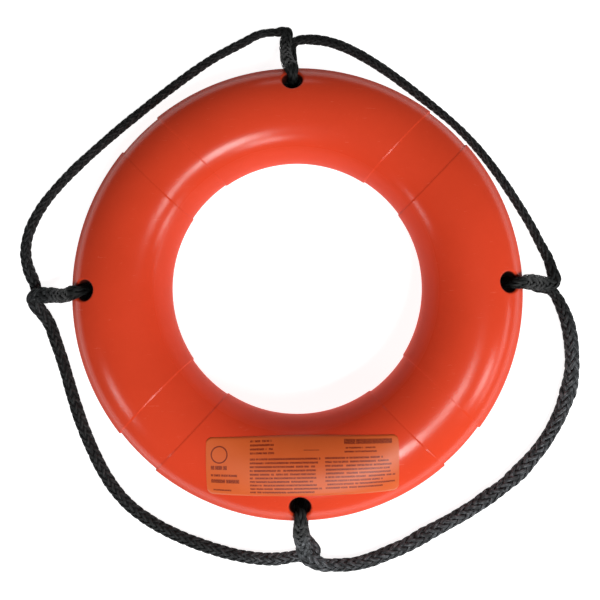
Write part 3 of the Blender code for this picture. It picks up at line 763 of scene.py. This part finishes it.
def braid_tree(finish):
    """Geometry nodes that lay a hollow braid, two over and two under, along a line's course."""
    tree = bpy.data.node_groups.new("hollow braid", "GeometryNodeTree")
    kinds = {int: "NodeSocketInt", float: "NodeSocketFloat"}
    sizes = [(name, "INPUT", kinds[type(value)]) for name, value in BRAID.items()]
    ends = [("Geometry", way, "NodeSocketGeometry") for way in ("INPUT", "OUTPUT")]
    for name, way, kind in (ends[0], *sizes, ends[1]):
        tree.interface.new_socket(name, in_out=way, socket_type=kind)
    entry = tree.nodes.new("NodeGroupInput")
    course, thickness, cover, count = (Wire(tree, entry.outputs[i]) for i in range(4))

    def add(kind, inputs=None, **settings):
        return node(tree, f"GeometryNode{kind}", inputs, **settings)

    def read(name, kind="FLOAT"):
        return add("InputNamedAttribute", {"Name": name}, data_type=kind)

    def store(geometry, name, value, **settings):
        inputs = {"Geometry": geometry, "Name": name, "Value": value}
        return add("StoreNamedAttribute", inputs, **settings)

    def circle(points, radius):
        return add("CurvePrimitiveCircle", {"Resolution": points, "Radius": radius})

    def sweep(path, normal, section, scale):
        """Carries a section along a path, with the section's X axis along the normal given."""
        path = add("SetCurveNormal", {"Curve": path, "Normal": normal}, mode="FREE")
        inputs = {"Curve": path, "Profile Curve": section, "Scale": scale, "Fill Caps": True}
        return store(add("CurveToMesh", inputs), "strand_along", read("distance"))

    def off_middle(along_side, along_rise):
        return side.scaled(along_side).vector("ADD", rise.scaled(along_rise))

    curve = add("MeshToCurve", {"Mesh": course})
    side, rise = read("side", "FLOAT_VECTOR"), read("rise", "FLOAT_VECTOR")
    width, height, turns = read("half_width"), read("half_height"), read("turns")
    spot = add("InputPosition")

    # The strands: each is a copy of the course, wound round it one way or the other
    copies = add("DuplicateElements", {"Geometry": curve, "Amount": count * 2}, domain="SPLINE")
    index = Wire(tree, copies.socket.node.outputs["Duplicate Index"])
    strands, strand = store(copies, "strand", index, domain="CURVE"), read("strand")
    backwards = strand.math("GREATER_THAN", count - 0.5)
    way = 1 - 2 * backwards
    place = strand - backwards * count
    angle = FULL_TURN * (place / count + way * turns)
    cos, sin = angle.math("COSINE"), angle.math("SINE")
    # A strand goes over two others and under two, and changes quickly from one to the other
    wave = ((2 * place + way * 2 * count * turns - 0.5) * QUARTER).math("COSINE")
    lift = way * wave / (wave * wave + OVER_SOFTNESS).math("SQRT") * thickness * 0.5
    reach = lift - thickness
    offset = off_middle(cos * (width + reach), sin * (height + reach))
    moved = add("SetPosition", {"Geometry": strands, "Offset": offset})
    outward = off_middle(cos / width, sin / height).vector("NORMALIZE")
    arc = hypotenuse((width - thickness) * sin, (height - thickness) * cos) * FULL_TURN / count
    spread = (arc * cover).math("MAXIMUM", thickness * STRAND_WIDTHS[0])
    spread = spread.math("MINIMUM", thickness * STRAND_WIDTHS[1])
    section = store(circle(STRAND_CORNERS, 0.5), "strand_across", spot.axis(1) * 2.0)
    section = add("Transform", {"Geometry": section, "Scale": (STRAND_FLATNESS, 1.0, 1.0)})
    seeded = {"ID": strand.math("ROUND"), "Seed": 7}
    tone = node(tree, "FunctionNodeRandomValue", seeded, 1, data_type="FLOAT")
    braid = store(sweep(moved, outward, section, spread), "strand_tone", tone)

    # The dark core that the strands lie on
    section = store(circle(CORE_CORNERS, 1.0), "core_across", spot.axis(0))
    section = store(section, "core_up", spot.axis(1))
    core = sweep(store(curve, "centre", spot, data_type="FLOAT_VECTOR"), side, section, THREAD)
    inner = thickness * CORE_INSET
    out = off_middle(read("core_across") * (width - inner), read("core_up") * (height - inner))
    where = read("centre", "FLOAT_VECTOR").vector("ADD", out)
    core = add("SetPosition", {"Geometry": core, "Position": where})

    both = add("JoinGeometry", {0: core})
    tree.links.new(braid.socket, both.socket.node.inputs[0])
    made = add("SetShadeSmooth", {0: add("RealizeInstances", {0: both}), "Shade Smooth": True})
    made = add("SetMaterial", {"Geometry": made, "Material": finish})
    tree.links.new(made.socket, tree.nodes.new("NodeGroupOutput").inputs[0])
    return tree


def braided(name, line, start, end, tree):
    """A stretch of the line as braid, and the points that it follows."""
    course, places = line.stretch(start, end)
    carrier = linked(bpy.data.objects.new("line carrier", course))
    layer = carrier.modifiers.new("braid", "NODES")
    layer.node_group = tree
    for socket in tree.interface.items_tree:
        if socket.in_out == "INPUT" and socket.name in BRAID:
            layer[socket.identifier] = BRAID[socket.name]
    ready = carrier.evaluated_get(bpy.context.evaluated_depsgraph_get())
    mesh = bpy.data.meshes.new_from_object(ready)
    mesh.name = name
    bpy.data.objects.remove(carrier)
    for spent in LINE_MEASURES + LINE_AXES + BUILDING_LAYERS:
        found = mesh.attributes.get(spent)
        if found and spent not in KEPT_LAYERS:
            mesh.attributes.remove(found)
    made = linked(bpy.data.objects.new(name, mesh))
    return made, places


def add_grab_line():
    """The line's loops, folded at each hole, and its bights, each built in two halves."""
    line = GrabLine()
    tree = braid_tree(black_braid())
    for side in SIDES:
        start, end = line.at_station(f"{side} fold"), line.at_station(f"{side} turn")
        loop, _ = braided(f"braid_loop_{side}", line, start, end, tree)
        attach(loop, "ring")
        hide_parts(f"line_loop_{side}", f"line_tuck_{side}")
    for name, bight in BIGHTS.items():
        start = line.at_station(f"{bight['from']} turn")
        # The last bight ends where the line begins, at distance 0
        end = line.at_station(f"{bight['to']} fold") or line.distance[-1]
        middle = (start + end) / 2
        for which, low, high in (("start", start, middle), ("end", middle, end)):
            half, places = braided(f"braid_{name}_{which}", line, low, high, tree)
            if which == "end":
                places = places[::-1]
            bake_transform(half)
            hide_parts(f"line_bight_{name}")


# The shell


def section_rows():
    """The section's angles from the flat's outer edge over the crown to its inner edge."""
    low, high = FLAT_ANGLE, math.pi - FLAT_ANGLE
    outer = np.linspace(low, -low, HALF_ROWS + 1)
    crown = np.linspace(-low, math.pi + low, CROWN_ROWS + 1)[1:-1]
    return np.concatenate([outer, crown, np.linspace(math.pi + low, high, HALF_ROWS + 1)])


def recess_depths(angles):
    """How deep a recess is round the section: shallow over the crown, deepest on the outer side."""
    share = eased((np.abs(np.degrees(angles) - RECESS_CROWN) - RECESS_EASE) / RECESS_EASE)
    full = np.where(angles < QUARTER, RECESS_DEPTH, RECESS_INNER_DEPTH)
    return RECESS_CROWN_DEPTH + (full - RECESS_CROWN_DEPTH) * share


def ring_column(azimuths, sunk):
    """One column of points, sunk by a share of the recess. Its azimuths depend on the radius."""
    rows = section_rows()
    share = (rows - FLAT_ANGLE) / (math.pi - 2 * FLAT_ANGLE)
    depth = sunk * recess_depths(rows)
    width, height = TUBE_RADIUS - depth, TUBE_SEMI_HEIGHT - depth
    begin = -math.asin((MID_HEIGHT - depth[0]) / height[0])
    angles = begin + share * (math.pi - 2 * begin)
    across = np.linspace(0, 1, FLAT_ROWS + 1)[1:-1]
    radii, heights = (
        np.concatenate([way, way[-1] + (way[0] - way[-1]) * across])
        for way in (MID_RADIUS + width * np.cos(angles), MID_HEIGHT + height * np.sin(angles))
    )
    return circle_points(radii, azimuths(radii), heights)


def plain_half_turn(radii):
    """Half the turn between two recesses' edge zones, at each radius."""
    return QUARTER / 2 - np.arcsin((RECESS_WIDTH / 2 + EDGE_STEPS[0]) / radii)


def ring_grid():
    """All columns round the ring, finer across the recesses' edges."""
    recess = [(-1, step) for step in EDGE_STEPS]
    recess += [(2 * i / RECESS_COLUMNS - 1, EDGE_STEPS[-1]) for i in range(1, RECESS_COLUMNS)]
    recess += [(1, step) for step in EDGE_STEPS[:0:-1]]
    columns = []
    for side in range(4):
        hole, middle = side * QUARTER, (side + 0.5) * QUARTER
        for i in range(PLAIN_COLUMNS):
            share = 2 * i / PLAIN_COLUMNS - 1
            columns.append(ring_column(lambda r: hole + share * plain_half_turn(r), 0.0))
        for share, step in recess:
            out, sunk = RECESS_WIDTH / 2 + step, eased((EDGE_SOFTNESS - step) / EDGE_SOFTNESS / 2)
            columns.append(ring_column(lambda r: middle + share * np.arcsin(out / r), sunk))
    return np.array(columns)


class Skin:
    """The shell's points and faces while it is being built."""

    def __init__(self):
        grid = ring_grid()
        self.columns, self.rows = grid.shape[:2]
        self.points = [tuple(p) for p in grid.reshape(-1, 3)]
        self.open = np.zeros((self.columns, self.rows), bool)
        self.faces = []

    def corner(self, column, row):
        return (column % self.columns) * self.rows + row % self.rows

    def hole_column(self, side):
        return side * self.columns // 4 + PLAIN_COLUMNS // 2

    def add(self, points):
        first = len(self.points)
        self.points += [tuple(map(float, p)) for p in points]
        return list(range(first, len(self.points)))

    def window(self, middle, half, first, last):
        """Opens a window in the grid. Its edge, seen from outside anticlockwise, and its points."""
        low, high = middle - half, middle + half
        self.open[np.arange(low, high) % self.columns, first:last] = True
        edge = [(c, first) for c in range(low, high)] + [(high, r) for r in range(first, last)]
        edge += [(c, last) for c in range(high, low, -1)] + [(low, r) for r in range(last, first, -1)]
        return edge, np.array([self.points[self.corner(*place)] for place in edge])

    def sleeve(self, rows):
        """Faces between closed rows of points, the first one outermost."""
        for one, other in zip(rows, rows[1:]):
            for j in range(len(one)):
                k = (j + 1) % len(one)
                self.faces.append((one[j], one[k], other[k], other[j]))

    def grid_faces(self):
        for c, r in zip(*np.nonzero(~self.open)):
            around = ((c, r), (c + 1, r), (c + 1, r + 1), (c, r + 1))
            self.faces.append(tuple(int(self.corner(*place)) for place in around))


def to_skin(points, hole):
    """Points on the plain skin as a share of its columns and an angle on its section."""
    radii = np.hypot(points[:, 0], points[:, 1])
    turn = (np.arctan2(points[:, 1], points[:, 0]) - hole + math.pi) % FULL_TURN - math.pi
    angle = np.arctan2(
        (points[:, 2] - MID_HEIGHT) / TUBE_SEMI_HEIGHT, (radii - MID_RADIUS) / TUBE_RADIUS
    )
    return np.stack([turn / plain_half_turn(radii), angle], axis=1)


def from_skin(places, hole):
    radii = MID_RADIUS + TUBE_RADIUS * np.cos(places[:, 1])
    heights = MID_HEIGHT + TUBE_SEMI_HEIGHT * np.sin(places[:, 1])
    return circle_points(radii, hole + places[:, 0] * plain_half_turn(radii), heights)


def patch_rows(edge, lip, hole, shares):
    """Rows on the skin between a window's edge and the lip of what is sunk there."""
    return [from_skin(edge + (lip - edge) * share, hole) for share in shares]


def mouth_lip(axis, turn):
    """Where the mouth's rounding leaves the skin, and its centre's height, at one turn."""
    wall = HOLE_DIAMETER / 2
    reach = np.linspace(wall, wall + 2 * MOUTH_ROUNDING, LIP_SAMPLES)[1:-1]
    radii = np.hypot(axis[0] + reach * math.cos(turn), axis[1] + reach * math.sin(turn))
    out = reach - MOUTH_CENTRE
    heights = half_thickness(radii) - np.sqrt(MOUTH_ROUNDING**2 - out**2)
    lowest = int(np.argmin(heights))
    return math.acos(out[lowest] / MOUTH_ROUNDING), float(heights[lowest])


def cut_rope_hole(skin, side):
    """A tunnel with rounded mouths, joined to the grid on both faces by a fan of quads."""
    hole, middle = side * QUARTER, skin.hole_column(side)
    half, first, last = HOLE_WINDOW
    front, edge = skin.window(middle, half, first, last)
    skin.window(middle, half, HALF_ROWS - last, HALF_ROWS - first)
    axis = circle_point(HOLE_CIRCLE_RADIUS, hole, 0.0)
    turns = np.arctan2(edge[:, 1] - axis[1], edge[:, 0] - axis[0])
    angles, rises = np.array([mouth_lip(axis, t) for t in turns]).T

    def mouth_row(share):
        """A row of the mouth's rounding, from the skin to the tunnel's wall."""
        a = angles + (math.pi - angles) * share
        heights = MID_HEIGHT + rises + MOUTH_ROUNDING * np.sin(a)
        return circle_points(MOUTH_CENTRE + MOUTH_ROUNDING * np.cos(a), turns, heights) + axis

    middle_height = np.array((0.0, 0.0, MID_HEIGHT))

    def scaled_height(row, share):
        """The row with its height over the tunnel's middle multiplied by a share."""
        return (row - middle_height) * (1, 1, share) + middle_height

    upper = patch_rows(to_skin(edge, hole), to_skin(mouth_row(0.0), hole), hole, PATCH_SHARES)
    upper += [mouth_row(i / MOUTH_STEPS) for i in range(MOUTH_STEPS + 1)]
    upper += [scaled_height(upper[-1], share) for share in BORE_SHARES]
    lower = [scaled_height(row, -1) for row in reversed(upper)]
    rows = [[skin.corner(c, r) for c, r in front]]
    rows += [skin.add(row) for row in (*upper, scaled_height(upper[-1], 0), *lower)]
    rows.append([skin.corner(c, HALF_ROWS - r) for c, r in front])
    skin.sleeve(rows)


def port_frame(azimuth):
    """A frame on the skin at a port, with +Z out of the shell."""
    cos, sin = math.cos(PORT_TILT), math.sin(PORT_TILT)
    outward = Vector(circle_point(cos / TUBE_RADIUS, azimuth, sin / TUBE_SEMI_HEIGHT))
    place = circle_point(
        MID_RADIUS + TUBE_RADIUS * cos, azimuth, MID_HEIGHT + TUBE_SEMI_HEIGHT * sin
    )
    matrix = outward.to_track_quat("Z", "Y").to_matrix().to_4x4()
    matrix.translation = place
    return matrix


def on_skin(matrix, radius, turn):
    """The skin's height over a port's frame, at a radius and turn about its axis."""
    low, high = -PORT_REACH, PORT_REACH
    for _ in range(HALVINGS):
        middle = (low + high) / 2
        p = matrix @ Vector(circle_point(radius, turn, middle))
        across = (math.hypot(p.x, p.y) - MID_RADIUS) / TUBE_RADIUS
        if math.hypot(across, (p.z - MID_HEIGHT) / TUBE_SEMI_HEIGHT) > 1:
            high = middle
        else:
            low = middle
    return (low + high) / 2


def sink_port(skin, port):
    """A blind pocket for a plug, with a small rounded edge."""
    shift, half_columns, half_rows = port["window"]
    middle = skin.hole_column(port["side"]) + shift
    row = int(np.argmin(np.abs(section_rows() - PORT_TILT - FULL_TURN)))
    places, edge = skin.window(middle, half_columns, row - half_rows, row + half_rows)
    matrix, hole = port_frame(port["azimuth"]), port["side"] * QUARTER
    local = [matrix.inverted() @ Vector(p) for p in edge]
    turns = [math.atan2(p.y, p.x) for p in local]

    def row_at(reach, drop):
        reach += port["radius"]
        return np.array([
            matrix @ Vector(circle_point(reach, t, on_skin(matrix, reach, t) - drop)) for t in turns
        ])

    def turned(points):
        """Their places on the skin, with the back's angles following the crown's."""
        found = to_skin(points, hole)
        found[:, 1] %= FULL_TURN
        return found

    rows = [[skin.corner(c, r) for c, r in places]]
    rows += map(skin.add, patch_rows(turned(edge), turned(row_at(*PORT_EDGE[0])), hole, PORT_SHARES))
    rows += [skin.add(row_at(out, down)) for out, down in (*PORT_EDGE, (0.0, PORT_DEPTH))]
    skin.sleeve(rows)
    centre = skin.add([matrix @ Vector((0, 0, -PORT_DEPTH))])
    skin.faces += [(one, other, *centre) for one, other in zip(rows[-1], rows[-1][1:] + rows[-1][:1])]


def add_shell():
    """The seamless moulded skin, with its recesses, rope holes and ports."""
    skin = Skin()
    for side in range(4):
        cut_rope_hole(skin, side)
    for port in PORTS.values():
        sink_port(skin, port)
    skin.grid_faces()
    shell = piece("ring_skin", skin.points, skin.faces, orange_polyethylene())
    drop_loose(shell.data)
    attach(shell, "ring")
    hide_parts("shell")


def drop_loose(mesh):
    """Removes the points that no face uses."""
    shape = bmesh.new()
    shape.from_mesh(mesh)
    bmesh.ops.delete(shape, geom=[v for v in shape.verts if not v.link_faces], context="VERTS")
    shape.to_mesh(mesh)
    shape.free()


# The plugs, the foam and the label


def add_plugs():
    """Push-in plugs: a rounded rim, a shallow dish and a moulding nub, turned about their axis."""
    finish = plug_plastic()
    sides = PLUG_SIDES
    for name, port in PORTS.items():
        matrix = port_frame(port["azimuth"])
        section = [
            (share * (port["radius"] - FIT_GAP), -PLUG_SINK - down) for share, down in PLUG_SECTION
        ]
        points = [
            matrix @ Vector(circle_point(reach, FULL_TURN * i / sides, height))
            for reach, height in section[1:-1] for i in range(sides)
        ]
        top, bottom, last = len(points), len(points) + 1, len(points) - sides
        points += [matrix @ Vector((0, 0, section[i][1])) for i in (0, -1)]
        faces = []
        for i in range(sides):
            j = (i + 1) % sides
            faces += [(top, i, j), (bottom, last + j, last + i)]
            for k in range(0, last, sides):
                faces.append((k + i, k + sides + i, k + sides + j, k + j))
        plug = piece(f"{name}_face", points, faces, finish)
        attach(plug, "ring")
        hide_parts(name)


def finish_foam():
    """The foam core keeps its solid, which nothing shows, and gets a foam's finish."""
    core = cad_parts["foam_core"]
    finish = cream_foam()
    if core.data.materials:
        core.data.materials[0] = finish
    else:
        core.data.materials.append(finish)


def label_columns():
    """Places along the label, each with how far its rounded corners reach in from its edges."""
    half, corner = LABEL_LENGTH / 2, LABEL_CORNER
    angles = [QUARTER * i / CORNER_COLUMNS for i in range(CORNER_COLUMNS)]
    left = [(-half + corner * (1 - math.cos(a)), corner * (1 - math.sin(a))) for a in angles]
    middle = [((half - corner) * (2 * i / LABEL_COLUMNS - 1), 0.0) for i in range(LABEL_COLUMNS + 1)]
    return left + middle + [(-x, inset) for x, inset in reversed(left)]


def add_label():
    """The film, bent to the tube, with a UV map in metres for its print."""
    columns = label_columns()
    points, flat = [], []
    for lift in (LABEL_LIFT, LABEL_LIFT + LABEL_FILM):
        for x, inset in columns:
            for row in range(LABEL_ROWS + 1):
                inner, outer = LABEL_EDGES[0] + inset, LABEL_EDGES[1] - inset
                share = row / LABEL_ROWS
                bow = LABEL_BOW[0] + (LABEL_BOW[1] - LABEL_BOW[0]) * share
                straight = -(inner + (outer - inner) * share)
                px, y = x + LABEL_SHIFT, straight - bow * (1 - (2 * x / LABEL_LENGTH) ** 2)
                edge = row in (0, LABEL_ROWS) or inset == LABEL_CORNER
                height = lift - (LABEL_EDGE_DROP if edge and lift > LABEL_LIFT else 0.0)
                z = MID_HEIGHT + float(half_thickness(math.hypot(px, y), height))
                points.append((px, y, z))
                flat.append((x, straight + sum(LABEL_EDGES) / 2))
    wide, high = len(columns), LABEL_ROWS + 1
    top = wide * high
    faces = []
    for i in range(wide - 1):
        for a in range(i * high, i * high + LABEL_ROWS):
            b, c, d = a + high, a + high + 1, a + 1
            faces += [(a, b, c, d), (a + top, d + top, c + top, b + top)]
    rim = list(range(0, top, high)) + list(range(top - high + 1, top))
    rim += list(range(top - high - 1, 0, -high)) + list(range(LABEL_ROWS - 1, 0, -1))
    for one, other in zip(rim, rim[1:] + rim[:1]):
        faces.append((one, one + top, other + top, other))
    label = piece("label_print", points, faces, label_film())
    layer = label.data.uv_layers.new(name="label")
    for loop in label.data.loops:
        layer.data[loop.index].uv = flat[loop.vertex_index]
    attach(label, "ring")
    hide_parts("label")


add_camera()
add_lights()
add_floor()
add_grab_line()
add_shell()
add_plugs()
finish_foam()
add_label()
